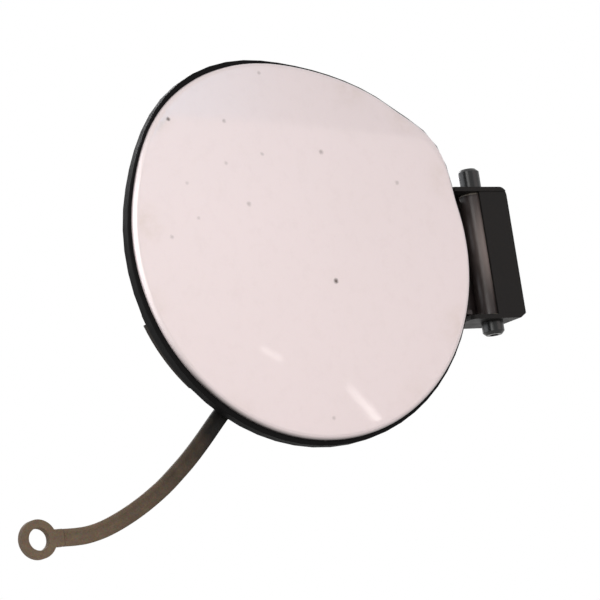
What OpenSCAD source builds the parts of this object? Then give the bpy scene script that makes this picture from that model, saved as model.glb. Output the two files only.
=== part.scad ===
// Car fuel door: a round painted flap on a black moulded carrier, with its gooseneck
// hinge, snap-in hinge base and the fuel cap's tether strap.
// X runs from the flap towards the hinge, Y into the car and Z up along the hinge pin.
// The origin is the centre line of the hinge base's flat back.

/* [Flap outline] */
// Radius of the round painted flap
flap_r = 85; // [75:0.5:95]
// How far the blunt upper corner stands out past the circle
corner_rise = 4.2; // [0:0.1:6]
// Direction of the blunt upper corner, from the hinge side upwards
corner_at = 30; // [20:1:45]
// Half width of the blunt upper corner, in degrees
corner_spread = 19; // [12:1:30]
// How far the sloping shoulder is cut back from the circle
shoulder_cut = 4.8; // [0:0.1:6]
// Direction of the middle of the sloping shoulder
shoulder_at = 77; // [60:1:90]
// Half width of the sloping shoulder, in degrees
shoulder_spread = 45; // [20:1:55]
// How far the upper free side swells past the circle
swell_rise = 1.8; // [0:0.1:5]
// Direction of the middle of the swelling
swell_at = 136; // [110:1:145]
// Half width of the swelling, in degrees
swell_spread = 28; // [20:1:60]
// Distance from the painted edge's circle to the hinge pin's axis
edge_to_pin = 18.3; // [18:0.1:21]
// Height of the flap's centre above the middle of the hinge
flap_z = 2.7; // [-4:0.1:6]

/* [Painted skin] */
// Thickness of the skin
skin_t = 1.2; // [0.8:0.1:2]
// How far the middle of the skin stands out past its edge
crown = 2.4; // [0.5:0.1:5]
// Depth of the turned-back lip round the skin
skin_lip = 3.4; // [3:0.1:4.5]
// Radius of the rounded edge between face and lip
skin_edge_r = 2.2; // [1.5:0.1:3]
// Clearance between the skin and the carrier
skin_gap = 0.15; // [0.1:0.01:0.25]

/* [Black carrier] */
// Thickness of the carrier's floor
floor_t = 2; // [1.5:0.1:2.5]
// How far the black rim stands out past the painted edge
rim_proud = 0.9; // [0.8:0.1:1.6]
// How much further the rim stands out at the upper free side
rim_swell = 1.6; // [0:0.1:2]
// How much further the rim stands out at the lower free side
rim_low_swell = 1.7; // [0:0.1:2.5]
// How far the front of the rim lies behind the painted edge
rim_front = 2; // [1.6:0.1:3]
// Depth of the rim behind the painted edge
rim_depth = 7.2; // [6.5:0.1:9]
// Thickness of the rim's wall
rim_t = 2.4; // [2:0.1:3.5]
// How far the deep skirt on the free side is set in from the painted edge's circle
skirt_inset = 5.6; // [5.4:0.1:9]
// Wall of the skirt and of the ribs
rib_t = 2; // [1.5:0.1:2.5]
// Depth of the upper part of the skirt behind the painted edge
upper_skirt_depth = 18; // [14:0.5:22]
// Depth of the lower part of the skirt behind the painted edge
lower_skirt_depth = 22; // [16:0.5:24]
// Depth of the stiffening ribs behind the painted edge
rib_depth = 5.2; // [4.6:0.1:5.6]

/* [Hinge base] */
// Height of the hinge base between the outer faces of its ears
base_h = 61; // [54:1:70]
// Reach of the base from the pin's axis, away from the flap
base_right = 14; // [12:0.5:16]
// Reach of the back wall from the pin's axis, towards the flap
base_left = 9; // [8:0.5:11]
// Reach of the ears from the pin's axis, towards the flap
ear_left = 16.5; // [12:0.5:17]
// Distance from the pin's axis back to the flat mounting face
axis_to_back = 13; // [12:0.5:16]
// Distance from the pin's axis forward to the plane of the painted edge
axis_to_face = 16; // [15.5:0.1:17]
// Distance from the pin's axis forward to the front of the ears
axis_to_front = 8.2; // [8:0.1:8.5]
// Thickness of the ears
ear_t = 2; // [1.8:0.1:3]
// Wall of the base
base_wall = 2.2; // [1.8:0.1:2.4]
// How far the front wall stops short of the front of the ears
front_step = 0.5; // [0.2:0.1:1]
// Radius of the two trunnion pegs
peg_r = 5; // [4:0.1:5.5]
// Length of the upper trunnion peg
upper_peg_l = 10; // [5:0.5:12]
// Length of the lower trunnion peg
lower_peg_l = 6; // [5:0.5:12]
// Chamfer at the end of each peg
peg_chamfer = 1.4; // [0.5:0.1:2]

/* [Hinge pin and arm] */
// Radius of the steel hinge pin
pin_r = 2; // [1.5:0.05:2.2]
// Running clearance round the pin
pin_gap = 0.04; // [0.02:0.01:0.08]
// Outer radius of the arm's barrel
barrel_r = 6.2; // [5.9:0.05:6.3]
// Thickness of the gooseneck
neck_t = 2.6; // [2:0.1:2.7]
// How far the gooseneck stops short of each end of the barrel
neck_inset = 1.2; // [0.8:0.1:6]
// Bend radius of the gooseneck next to the barrel, on its centre line
neck_bend = 7.5; // [6:0.1:8]
// Bend radius of the gooseneck next to the flap, on its centre line
pad_bend = 4.5; // [4:0.1:5]
// Straight run from the pin's axis to the first bend
neck_run = 19.5; // [19:0.5:22]
// Length of the pad that is screwed to the carrier
pad_l = 38; // [30:1:44]
// Height of the pad at its narrow end
pad_end_h = 30; // [24:1:36]

/* [Latch and rests] */
// Height of the striker plate along the flap's edge
striker_w = 20; // [16:1:26]
// Depth of the striker plate behind its foot
striker_d = 15; // [12:0.5:18]
// Thickness of the striker plate
striker_t = 3; // [2:0.1:4]
// Radius of a rubber buffer's head
buffer_r = 5; // [4:0.1:6]
// Height of a rubber buffer's head
buffer_h = 4.5; // [3:0.1:6]
// Width of the fuel cap's parking cradle
cradle_w = 34; // [28:1:40]

/* [Tether strap] */
// Width of the strap
strap_w = 7; // [5:0.1:8]
// Thickness of the strap
strap_t = 3.6; // [2.5:0.1:4]
// Radius of the hole in the end eyelet
eye_r = 4.5; // [3:0.1:5.5]
// Outer radius of the end eyelet
eye_outer_r = 8; // [7:0.1:9]

/* [Hidden] */
$fn = 64;
tiny = 0.01;

// The pin's axis, the painted edge's plane and the flap's centre
axis_y = -axis_to_back;
face_y = axis_y - axis_to_face;
flap_x = -edge_to_pin - flap_r;
outline_steps = 60;

// Planes that pieces seat on
rim_back_y = face_y + rim_depth;
seat_y = face_y + rib_depth + 0.3;
pad_t = neck_t;
barrel_gap = 0.4;
front_wall = axis_to_front - front_step - barrel_r - barrel_gap;
ear_in = base_h / 2 - ear_t;
bush_flange_t = 0.7;
thrust_gap = 0.05;
barrel_half = ear_in - bush_flange_t - 2 * thrust_gap;
neck_h = 2 * (barrel_half - neck_inset);

// Rise of the outline past the circle: a smooth bump that is one at its middle
function bump(at, middle, spread) =
    let (off = abs(at - middle))
    off < spread ? pow(cos(90 * off / spread), 2) : 0;

// Distance of the painted edge from the flap's centre in a direction
function edge_r(at) =
    flap_r
    + corner_rise * bump(at, corner_at, corner_spread)
    - shoulder_cut * bump(at, shoulder_at, shoulder_spread)
    + swell_rise * bump(at, swell_at, swell_spread);

// How far the crowned face stands out at a distance from the flap's centre
function crown_at(r) = crown * max(0, 1 - pow(r / flap_r, 2));

// How far the rim stands out past the painted edge in a direction
swell_rim_at = 117;
swell_rim_spread = 35;
low_rim_at = 225;
low_rim_spread = 120;
function rim_out(at) =
    rim_proud
    + rim_swell * bump(at, swell_rim_at, swell_rim_spread)
    + rim_low_swell * bump(at, low_rim_at, low_rim_spread);

// One closed ring of points: [share of the edge's radius, inset, depth, share of the crown,
// share of the rim's reach]
function ring(spec) = [
    for (i = [0 : outline_steps - 1])
        let (
            at = 360 * i / outline_steps,
            r = spec[0] * edge_r(at) - spec[1] + spec[4] * rim_out(at)
        )
        [flap_x + r * cos(at), face_y + spec[2] - spec[3] * crown_at(r), flap_z + r * sin(at)]
];

// A round shell swept through rings, closed by a point at the middle of front and back
module ringed_shell(rings, front_depth, back_depth) {
    n = outline_steps;
    m = len(rings);
    points = concat(
        [for (s = rings) each ring(s)],
        [[flap_x, face_y + front_depth - crown, flap_z]],
        [[flap_x, face_y + back_depth - crown, flap_z]]
    );
    faces = concat(
        [for (i = [0 : n - 1]) [n * m, (i + 1) % n, i]],
        [for (k = [0 : m - 2], i = [0 : n - 1])
            [n * k + i, n * k + (i + 1) % n, n * (k + 1) + (i + 1) % n, n * (k + 1) + i]],
        [for (i = [0 : n - 1]) [n * m + 1, n * (m - 1) + i, n * (m - 1) + (i + 1) % n]]
    );
    polyhedron(points, faces, convexity = 6);
}

// Places children at a direction and distance from the flap's centre, with their
// Z axis pointing into the car and their origin on the plane y
module on_flap(at, r, y) {
    translate([flap_x + r * cos(at), y, flap_z + r * sin(at)])
        rotate([-90, 0, 0])
            children();
}

// A plate that lies across Y, from a rectangle with rounded corners
module rounded_plate(w, h, t, corner) {
    rotate([90, 0, 0])
        linear_extrude(t, center = true)
            rounded_rectangle(w, h, corner);
}

module rounded_rectangle(w, h, corner) {
    square([w - 2 * corner, h], center = true);
    square([w, h - 2 * corner], center = true);
    for (x = [-1, 1], y = [-1, 1])
        translate([x * (w / 2 - corner), y * (h / 2 - corner)])
            circle(corner);
}

// The middle of the carrier's floor at a distance from the flap's centre
function floor_mid_y(r) = face_y + floor_front + floor_t / 2 - crown_at(r);

// A wall on part of a circle round the flap's centre, from the floor back to a plane
module arc_wall(r, from, to, end_y) {
    translate([flap_x, end_y, flap_z])
        rotate([90, 0, 0])
            rotate([0, 0, from])
                rotate_extrude(angle = to - from, $fn = 128)
                    translate([r - rib_t, 0])
                        square([rib_t, end_y - floor_mid_y(r)]);
}

// Painted skin
stud_r = 1.9;
stud_inset = 19;
stud_ring_r = flap_r - stud_inset;
nut_r = 6;

// The latch striker's foot, and the stud that stands a nut's clearance off its corner
striker_at = 189;
striker_inset = 19;
striker_ring_r = flap_r - striker_inset;
striker_foot_t = 2.5;
striker_foot_w = 12;
striker_foot_h = 42;
striker_foot_corner = 4;
foot_to_nut = 0.5165;
foot_x = striker_ring_r * cos(striker_at) + striker_foot_w / 2 - striker_foot_corner;
foot_z = striker_ring_r * sin(striker_at) - striker_foot_h / 2 + striker_foot_corner;
foot_r = norm([foot_x, foot_z]);
foot_reach = striker_foot_corner + nut_r + foot_to_nut;
stud_past_foot = acos(
    (pow(stud_ring_r, 2) + pow(foot_r, 2) - pow(foot_reach, 2)) / (2 * stud_ring_r * foot_r)
);
stud_by_foot = 360 + atan2(foot_z, foot_x) + stud_past_foot;
stud_angles = [48, 95, 150, stud_by_foot, 265, 312];
stud_reach = 9;
stud_root_y = face_y + skin_t / 2 - crown_at(stud_ring_r);

module door_skin() {
    steps = [0, 30, 60, 90];
    color("lavenderblush") {
        ringed_shell(concat(
            [for (share = [0.3, 0.6, 0.8, 0.92]) [share, 0, 0, 1, 0]],
            [for (a = steps)
                [1, skin_edge_r * (1 - sin(a)), skin_edge_r * (1 - cos(a)), 1, 0]],
            [
                [1, 0, skin_lip, 1, 0],
                [1, skin_t, skin_lip, 1, 0],
                [1, skin_t, skin_edge_r, 1, 0],
                [1, skin_edge_r, skin_t, 1, 0]
            ],
            [for (share = [0.9, 0.6, 0.3]) [share, 0, skin_t, 1, 0]]
        ), 0, skin_t);
        for (at = stud_angles)
            on_flap(at, stud_ring_r, stud_root_y)
                cylinder(h = face_y + stud_reach - stud_root_y, r = stud_r);
    }
}

// Spring nuts pushed over the skin's studs, one flat toothed washer each
nut_t = 0.6;
nut_depth = 6.4;
nut_seat_y = face_y + nut_depth;
nut_slot_l = 1.8;
nut_slot_w = 0.7;

module skin_push_nuts() {
    color("dimgray")
        for (at = stud_angles)
            on_flap(at, stud_ring_r, nut_seat_y)
                difference() {
                    cylinder(h = nut_t, r = nut_r);
                    translate([0, 0, -nut_t])
                        cylinder(h = 3 * nut_t, r = stud_r + 0.05);
                    for (turn = [0 : 60 : 359])
                        rotate([0, 0, turn])
                            translate([stud_r, -nut_slot_w / 2, -nut_t])
                                cube([nut_slot_l, nut_slot_w, 3 * nut_t]);
                }
}

// Black carrier. The skin's turned-back lip sits in a groove inside the rim
lip_gap = 0.2;
floor_front = skin_t + skin_gap;
wall_inset = skin_t + skin_gap;
screw_r = 2;
screw_gap = 0.1;
boss_r = 4.6;
buffer_inset = 15;
buffer_ring_r = flap_r - buffer_inset;
buffer_seat_y = face_y + rim_depth;
buffer_stem_r = 2.4;
stud_to_buffer = 13;
buffer_spots = [72, 125, stud_by_foot + stud_to_buffer, 290];
cradle_x = flap_x - 8;
cradle_z = flap_z + 8;
cradle_leg_gap = 0.2;
anchor_x = flap_x - 31.2;
anchor_z = flap_z - 52.7;
anchor_seat_y = face_y + 6;
anchor_stem_r = 3;

module carrier_pan() {
    ringed_shell(concat(
        [for (share = [0.3, 0.6, 0.9]) [share, 0, floor_front, 1, 0]],
        [
            [1, wall_inset + 1.8, floor_front + 0.3, 1, 0],
            [1, wall_inset, floor_front + 1.9, 1, 0],
            [1, wall_inset, skin_lip + lip_gap, 1, 0],
            [1, -lip_gap, skin_lip + lip_gap, 1, 0],
            [1, -lip_gap, rim_front, 1, 0],
            [1, 0.3, rim_front, 1, 1],
            [1, 0, rim_front + 0.3, 1, 1],
            [1, 0, rim_depth - 0.8, 1, 1],
            [1, 0.8, rim_depth, 0, 1],
            [1, rim_t - 0.4, rim_depth, 0, 1],
            [1, rim_t, rim_depth - 0.4, 1, 1],
            [1, wall_inset + rim_t, floor_front + floor_t + 0.6, 1, 0],
            [1, wall_inset + rim_t + 1.2, floor_front + floor_t, 1, 0]
        ],
        [for (share = [0.6, 0.3]) [share, 0, floor_front + floor_t, 1, 0]]
    ), floor_front, floor_front + floor_t);
}

// A round boss that grows out of the floor at a place on the flap
module floor_boss(x, z, r, end_y) {
    root_y = floor_mid_y(norm([x - flap_x, z - flap_z]));
    translate([x, root_y, z])
        rotate([-90, 0, 0])
            cylinder(h = end_y - root_y, r = r);
}

// A rib that runs straight between two places, its foot following the crowned floor
module straight_rib(from, to, end_y) {
    run = to - from;
    feet = [for (share = [0 : 0.25 : 1]) from + share * run];
    translate([from[0], 0, from[1]])
        rotate([0, -atan2(run[1], run[0]), 0])
            translate([0, 0, -rib_t / 2])
                linear_extrude(rib_t)
                    polygon(concat(
                        [for (p = feet)
                            [norm(p - from), floor_mid_y(norm(p - [flap_x, flap_z]))]],
                        [[norm(run), end_y], [0, end_y]]
                    ));
}

// One deep lobe of the skirt, shallower by a step at each of its ends. The deeper wall is
// set in a little from the shallower one
lobe_step = 2.5;
lobe_end = 3;
lobe_offset = 0.3;

module skirt_lobe(from, to, depth) {
    arc_wall(flap_r - skirt_inset, from, to, face_y + depth - lobe_step);
    arc_wall(flap_r - skirt_inset - lobe_offset, from + lobe_end, to - lobe_end, face_y + depth);
}

hub_r = 24;
rib_ring_inset = 27;

module carrier_ribs() {
    rib_y = face_y + rib_depth;
    arc_wall(hub_r, 0, 360, rib_y);
    arc_wall(flap_r - rib_ring_inset, 28, 332, rib_y);
    for (at = [30, 72, 110, 170, 205, 250, 290, 330]) {
        rib_end_r = edge_r(at) - wall_inset - 1;
        straight_rib(
            [flap_x + (hub_r - 1) * cos(at), flap_z + (hub_r - 1) * sin(at)],
            [flap_x + rib_end_r * cos(at), flap_z + rib_end_r * sin(at)],
            rib_y
        );
    }
}

module door_carrier() {
    color("#2c2a2a")
        difference() {
            union() {
                carrier_pan();
                carrier_ribs();
                skirt_lobe(112, 181, upper_skirt_depth);
                skirt_lobe(198, 228, lower_skirt_depth);
                for (spot = screw_spots)
                    floor_boss(spot[0], spot[1], boss_r, seat_y);
                for (at = stud_angles)
                    floor_boss(
                        flap_x + stud_ring_r * cos(at),
                        flap_z + stud_ring_r * sin(at),
                        stud_r + 2.2,
                        nut_seat_y
                    );
                for (at = buffer_spots)
                    floor_boss(
                        flap_x + buffer_ring_r * cos(at),
                        flap_z + buffer_ring_r * sin(at),
                        buffer_r,
                        buffer_seat_y
                    );
                for (spot = striker_spots)
                    floor_boss(spot[0], spot[1], boss_r, seat_y);
                for (side = [-1, 1])
                    floor_boss(cradle_x + side * cradle_leg_x, cradle_z, boss_r, seat_y);
                floor_boss(anchor_x, anchor_z, anchor_stem_r + 2.5, anchor_seat_y);
            }
            for (spot = concat(screw_spots, striker_spots))
                translate([spot[0], face_y + 1, spot[1]])
                    rotate([-90, 0, 0])
                        cylinder(h = 10, r = screw_r + screw_gap);
            for (at = stud_angles)
                on_flap(at, stud_ring_r, face_y - crown)
                    cylinder(h = 20, r = stud_r + 0.2);
            for (at = buffer_spots)
                on_flap(at, buffer_ring_r, face_y + floor_front + 0.6)
                    cylinder(h = 20, r = buffer_stem_r + 0.05);
            for (side = [-1, 1])
                translate([cradle_x + side * cradle_leg_x, face_y + 0.6, cradle_z])
                    rotate([-90, 0, 0])
                        cylinder(h = 10, r = cradle_leg_r + 0.05);
            translate([anchor_x, face_y + 0.6, anchor_z])
                rotate([-90, 0, 0])
                    cylinder(h = 10, r = anchor_stem_r + 0.05);
        }
}

// Gooseneck arm: the centre line leaves the barrel behind the pin, turns forward round the
// edge of the body panel and turns again to lie along the carrier
neck_y = barrel_r - neck_t / 2;
bend_x = -neck_run;
drop_x = bend_x - neck_bend;
pad_y = seat_y - axis_y + pad_t / 2;
pad_x = drop_x - pad_bend;
pad_far_x = pad_x - pad_l;
window_w = 13;
arm_rib_h = 3.2;
near_screws_x = pad_x - 8;
near_screws_z = 16;
far_screws_x = pad_far_x + 7;
far_screws_z = 9;
screw_spots = [
    for (side = [1, -1]) [near_screws_x, side * near_screws_z],
    for (side = [1, -1]) [far_screws_x, side * far_screws_z]
];

// A quarter of a flat ring, with its first edge in a direction
module quarter_ring(r, t, from) {
    intersection() {
        difference() {
            circle(r + t / 2);
            circle(r - t / 2);
        }
        rotate(from)
            square(r + t);
    }
}

// The gooseneck's section, seen along the pin from above, with the pin at the origin.
// grow thickens it towards the outside of the first bend
module neck_section() {
    translate([bend_x, neck_y - neck_t / 2])
        square([neck_run, neck_t]);
    translate([bend_x, neck_y - neck_bend])
        quarter_ring(neck_bend, neck_t, 90);
    translate([drop_x - neck_t / 2, pad_y + pad_bend])
        square([neck_t, neck_y - neck_bend - pad_y - pad_bend]);
    translate([pad_x, pad_y + pad_bend])
        quarter_ring(pad_bend, neck_t, 270);
}

// The edge ribs follow the gooseneck on its hollow side
module rib_section() {
    translate([bend_x, neck_y - neck_t / 2 - arm_rib_h])
        square([neck_run - axis_to_front - 1.7, arm_rib_h + 1]);
    translate([bend_x, neck_y - neck_bend])
        quarter_ring(neck_bend - neck_t / 2 - arm_rib_h / 2, arm_rib_h, 90);
}

module pad_outline() {
    far_h = pad_end_h;
    polygon([
        [pad_x, -neck_h / 2],
        [pad_x, neck_h / 2],
        [pad_x - 14, neck_h / 2],
        [pad_far_x + 3, far_h / 2],
        [pad_far_x, far_h / 2 - 3],
        [pad_far_x, -far_h / 2 + 3],
        [pad_far_x + 3, -far_h / 2],
        [pad_x - 14, -neck_h / 2]
    ]);
}

module hinge_arm() {
    color("#3a3635")
        translate([0, axis_y, 0])
            difference() {
                union() {
                    translate([0, 0, -barrel_half])
                        cylinder(h = 2 * barrel_half, r = barrel_r);
                    linear_extrude(neck_h, center = true)
                        neck_section();
                    for (z = [-1, 1])
                        translate([0, 0, z * (neck_h - rib_t) / 2])
                            linear_extrude(rib_t, center = true)
                                rib_section();
                    translate([0, pad_y + pad_t / 2, 0])
                        rotate([90, 0, 0])
                            linear_extrude(pad_t)
                                pad_outline();
                    for (z = [-1, 1])
                        translate([pad_far_x + 8, pad_y, z * 3.2 - rib_t / 2])
                            cube([pad_l - 8, arm_rib_h + pad_t / 2, rib_t]);
                }
                cylinder(h = base_h, r = pin_r + 0.4, center = true);
                for (z = [-1, 1])
                    translate([0, 0, z * barrel_half])
                        cylinder(h = 2 * bush_l, r = bush_r, center = true);
                for (z = [-1, 1])
                    translate([drop_x - neck_bend, -25, z * neck_h / 4 - window_w / 2])
                        cube([2 * neck_bend - 3, 40, window_w]);
                for (spot = screw_spots)
                    translate([spot[0], pad_y, spot[1]])
                        rotate([90, 0, 0])
                            cylinder(h = 3 * pad_t, r = screw_r + 0.2, center = true);
                translate([barrel_r - 0.6, -barrel_r, -spring_h / 2 - 1])
                    cube([barrel_r, 2 * barrel_r, spring_h + 2]);
            }
}

// A pan-head screw along Y with its shank towards the face and its head on the plane y
module pan_screw(x, z, y, shank) {
    translate([x, y, z])
        rotate([90, 0, 0]) {
            cylinder(h = shank, r = screw_r);
            translate([0, 0, -2.4])
                difference() {
                    cylinder(h = 2.4, r1 = 3.1, r2 = 3.9);
                    for (turn = [0, 90])
                        rotate([0, 0, turn])
                            translate([0, 0, 0.3])
                                cube([3.6, 0.8, 2], center = true);
                }
        }
}

screw_l = 6.6;

module arm_screws() {
    color("silver")
        for (spot = screw_spots)
            pan_screw(spot[0], spot[1], seat_y + pad_t, screw_l);
}

// Flanged bushes pressed into the ends of the barrel
bush_l = 8;
bush_r = 3.4;

module bush(side) {
    color("ivory")
        translate([0, axis_y, side * barrel_half])
            mirror([0, 0, side < 0 ? 1 : 0])
                difference() {
                    union() {
                        translate([0, 0, -bush_l + 0.1])
                            cylinder(h = bush_l, r = bush_r);
                        translate([0, 0, thrust_gap])
                            cylinder(h = bush_flange_t, r = barrel_r - 0.2);
                    }
                    cylinder(h = 3 * bush_l, r = pin_r + pin_gap, center = true);
                }
}

module upper_bush() {
    bush(1);
}

module lower_bush() {
    bush(-1);
}

pin_recess = 0.8;
pin_tip = 0.5;
pin_top = base_h / 2 + upper_peg_l - pin_recess;
pin_bottom = -base_h / 2 - lower_peg_l + pin_recess;

module hinge_pin() {
    color("lightsteelblue")
        translate([0, axis_y, 0]) {
            translate([0, 0, pin_bottom + pin_tip])
                cylinder(h = pin_top - pin_bottom - 2 * pin_tip, r = pin_r);
            translate([0, 0, pin_top - pin_tip])
                cylinder(h = pin_tip, r1 = pin_r, r2 = pin_r - 0.4);
            translate([0, 0, pin_bottom])
                cylinder(h = pin_tip, r1 = pin_r - 0.4, r2 = pin_r);
        }
}

// Hinge base: back, side and front walls in one bent section between two ears. The front
// wall's edge is where the arm's pad comes to rest at full opening
spring_t = 0.6;
spring_h = 16;
spring_y = barrel_r + 0.4;
spring_bow = 1.2;
spring_flat = 2.5;
spring_left = -8.6;
spring_right = base_right - 0.8;
full_open = 95;
stop_t = 1.2;
stop_near = 6.5;
stop_far = 9.3;
stop_h = 28;
stop_gap = 0.3;
stop_face = neck_y - neck_t / 2 - stop_t;
front_left = stop_gap + stop_far * sin(full_open - 90) - stop_face * cos(full_open - 90);
gusset_t = 2;
upper_corner_r = 4;
lower_cut_w = 3.5;
lower_cut_h = 2.2;

module base_wall_section() {
    translate([-base_left, axis_to_back - base_wall])
        square([base_left + base_right, base_wall]);
    translate([base_right - base_wall, -axis_to_front + front_step])
        square([base_wall, axis_to_front - front_step + axis_to_back]);
    translate([front_left, -axis_to_front + front_step])
        square([base_right - front_left, front_wall]);
}

// The ears reach towards the flap at the front and taper back to the back wall
module ear_section() {
    polygon([
        [-ear_left + 1.5, -axis_to_front],
        [base_right, -axis_to_front],
        [base_right, axis_to_back],
        [-base_left + 1, axis_to_back],
        [-base_left, axis_to_back - 3],
        [-ear_left, 0],
        [-ear_left, -axis_to_front + 1.5]
    ]);
}

// The base's outline seen from the front: a round upper corner and a cut lower one
module base_front_outline() {
    half = base_h / 2;
    difference() {
        translate([-ear_left, -half])
            square([ear_left + base_right, base_h]);
        translate([base_right - upper_corner_r, half - upper_corner_r])
            difference() {
                square(upper_corner_r + 1);
                circle(upper_corner_r);
            }
        polygon([
            [base_right + tiny, -half - tiny],
            [base_right + tiny, -half + lower_cut_h],
            [base_right - lower_cut_w, -half - tiny]
        ]);
    }
}

// A peg with a chamfered end, on the upper ear or mirrored onto the lower one
module trunnion_peg(lower, peg_l) {
    mirror([0, 0, lower])
        translate([0, 0, base_h / 2 - tiny]) {
            cylinder(h = peg_l - peg_chamfer + tiny, r = peg_r);
            translate([0, 0, peg_l - peg_chamfer + tiny])
                cylinder(h = peg_chamfer, r1 = peg_r, r2 = peg_r - peg_chamfer);
        }
}

module hinge_base() {
    half = base_h / 2;
    color("#302d2c")
        translate([0, axis_y, 0])
            difference() {
                union() {
                    intersection() {
                        union() {
                            linear_extrude(base_h, center = true)
                                base_wall_section();
                            for (z = [-half, ear_in])
                                translate([0, 0, z])
                                    linear_extrude(ear_t)
                                        ear_section();
                            for (z = [-17, 17])
                                translate([0, 0, z])
                                    linear_extrude(gusset_t, center = true)
                                        base_gusset();
                            translate([-base_left, spring_y + spring_bow + spring_t, -spring_h / 2 - 3])
                                cube([2.4, axis_to_back - spring_y - spring_bow - spring_t, spring_h + 6]);
                        }
                        rotate([90, 0, 0])
                            linear_extrude(60, center = true)
                                base_front_outline();
                    }
                    trunnion_peg(0, upper_peg_l);
                    trunnion_peg(1, lower_peg_l);
                }
                cylinder(h = 2 * base_h, r = pin_r + 0.01, center = true);
                translate([0, 0, -spring_h / 2 - 0.1])
                    linear_extrude(spring_h + 0.2)
                        polygon([
                            [base_right - base_wall - 0.1, spring_y + spring_bow - 0.1],
                            [spring_right + 0.2, spring_y + spring_bow - 0.1],
                            [spring_right + 0.2, spring_y + spring_bow + spring_t + 0.1],
                            [base_right - base_wall - 0.1, spring_y + spring_bow + spring_t + 0.1]
                        ]);
            }
}

// Gussets tie the side wall to the front and back walls, clear of the barrel
module base_gusset() {
    difference() {
        translate([3, -axis_to_front + front_step + 1])
            square([base_right - 4, axis_to_front - front_step + axis_to_back - 2]);
        circle(barrel_r + 0.8);
        translate([-10, -axis_to_front])
            square([barrel_r + 12, axis_to_front + spring_y + 2]);
    }
}

// Bowed leaf that bears on the barrel's cam flats and holds the flap open or shut
module over_centre_spring() {
    bow = [
        [spring_left, spring_bow],
        [-spring_flat, 0],
        [spring_flat, 0],
        [base_right - base_wall - 0.3, spring_bow],
        [spring_right, spring_bow]
    ];
    n = len(bow);
    color("slategray")
        translate([0, axis_y + spring_y, 0])
            linear_extrude(spring_h, center = true)
                polygon(concat(
                    bow,
                    [for (i = [n - 1 : -1 : 0]) bow[i] + [0, spring_t]]
                ));
}

// Pad on the arm's neck that comes to rest on the edge of the base's front wall
module open_stop_pad() {
    color("#1d1c1c")
        translate([-stop_far, axis_y + stop_face, -stop_h / 2])
            cube([stop_far - stop_near, stop_t, stop_h]);
}

// Striker: a plate with a window that the lock's bolt slides into, on a screwed foot
striker_x = flap_x + striker_ring_r * cos(striker_at);
striker_z = flap_z + striker_ring_r * sin(striker_at);
striker_hole_d = 6;
striker_hole_w = 10;
striker_screw_z = 15;
striker_spots = [for (side = [1, -1]) [striker_x, striker_z + side * striker_screw_z]];

module latch_striker() {
    foot_end = seat_y + striker_foot_t;
    color("#232222")
        difference() {
            union() {
                translate([striker_x, seat_y + striker_foot_t / 2, striker_z])
                    rounded_plate(striker_foot_w, striker_foot_h, striker_foot_t, striker_foot_corner);
                translate([striker_x, foot_end + striker_d / 2, striker_z])
                    rotate([0, -90, 0])
                        linear_extrude(striker_t, center = true)
                            rounded_rectangle(striker_w, striker_d + 1, 2);
            }
            translate([striker_x, foot_end + striker_d / 2 - 0.5, striker_z])
                cube([3 * striker_t, striker_hole_d, striker_hole_w], center = true);
            for (spot = striker_spots)
                translate([spot[0], seat_y, spot[1]])
                    rotate([90, 0, 0])
                        cylinder(h = 4 * striker_foot_t, r = screw_r + 0.2, center = true);
        }
}

module striker_screws() {
    color("silver")
        for (spot = striker_spots)
            pan_screw(spot[0], spot[1], seat_y + striker_foot_t, screw_l);
}

// Rubber buffers with a stem pushed into the carrier's bosses
module buffer(at) {
    color("#191919")
        on_flap(at, buffer_ring_r, buffer_seat_y)
            difference() {
                rotate_extrude()
                    polygon([
                        [0, -4],
                        [buffer_stem_r - 0.6, -4],
                        [buffer_stem_r, -3.2],
                        [buffer_stem_r, 0],
                        [buffer_r, 0],
                        [buffer_r, buffer_h - 1.5],
                        [buffer_r - 1.5, buffer_h],
                        [0, buffer_h]
                    ]);
                translate([0, 0, buffer_h - 1])
                    cylinder(h = 2, r = 1.2);
            }
}

module buffer_top() {
    buffer(buffer_spots[0]);
}

module buffer_free_upper() {
    buffer(buffer_spots[1]);
}

module buffer_free_lower() {
    buffer(buffer_spots[2]);
}

module buffer_bottom() {
    buffer(buffer_spots[3]);
}

// Cradle that the fuel cap's grip is hung in: a plate with two inward lips, open at the top
cradle_leg_r = 2.4;
cradle_leg_x = 9;
cradle_t = 2.2;
cradle_h = 22;
cradle_gap = 7;
cradle_lip = 6;

module cap_cradle() {
    color("#262525")
        translate([cradle_x, seat_y, cradle_z]) {
            translate([0, cradle_t / 2, 0])
                rounded_plate(cradle_w, cradle_h, cradle_t, 3);
            for (side = [-1, 1]) {
                translate([side * (cradle_w - cradle_t) / 2 - cradle_t / 2, 0, -cradle_h / 2 + 3])
                    cube([cradle_t, cradle_gap + 2 * cradle_t, cradle_h - 6]);
                translate([
                    side * (cradle_w - cradle_lip) / 2 - cradle_lip / 2,
                    cradle_gap + cradle_t,
                    -cradle_h / 2 + 3
                ])
                    cube([cradle_lip, cradle_t, cradle_h - 6]);
                translate([side * cradle_leg_x, 0, 0])
                    rotate([90, 0, 0])
                        cylinder(h = 4, r = cradle_leg_r);
            }
            translate([-cradle_w / 2 + cradle_t, 0, -cradle_h / 2 + 1])
                cube([cradle_w - 2 * cradle_t, cradle_t + 3, cradle_t]);
        }
}

// Tether: a push-in anchor, the strap along its route and a moulded eyelet
strap_y = axis_y - 5;
strap_points = [
    [-141, -56.5], [-146, -61], [-153.5, -68], [-163, -77.5], [-170.5, -84.5],
    [-176.5, -89.5], [-185, -96], [-195.5, -102.5], [-205.5, -107.5], [-214.5, -111],
    [-222, -112.8], [-228, -113.3], [-234, -113.3]
];
strap_sides = 8;
strap_turns = 3;
eye_neck = 4;

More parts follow.
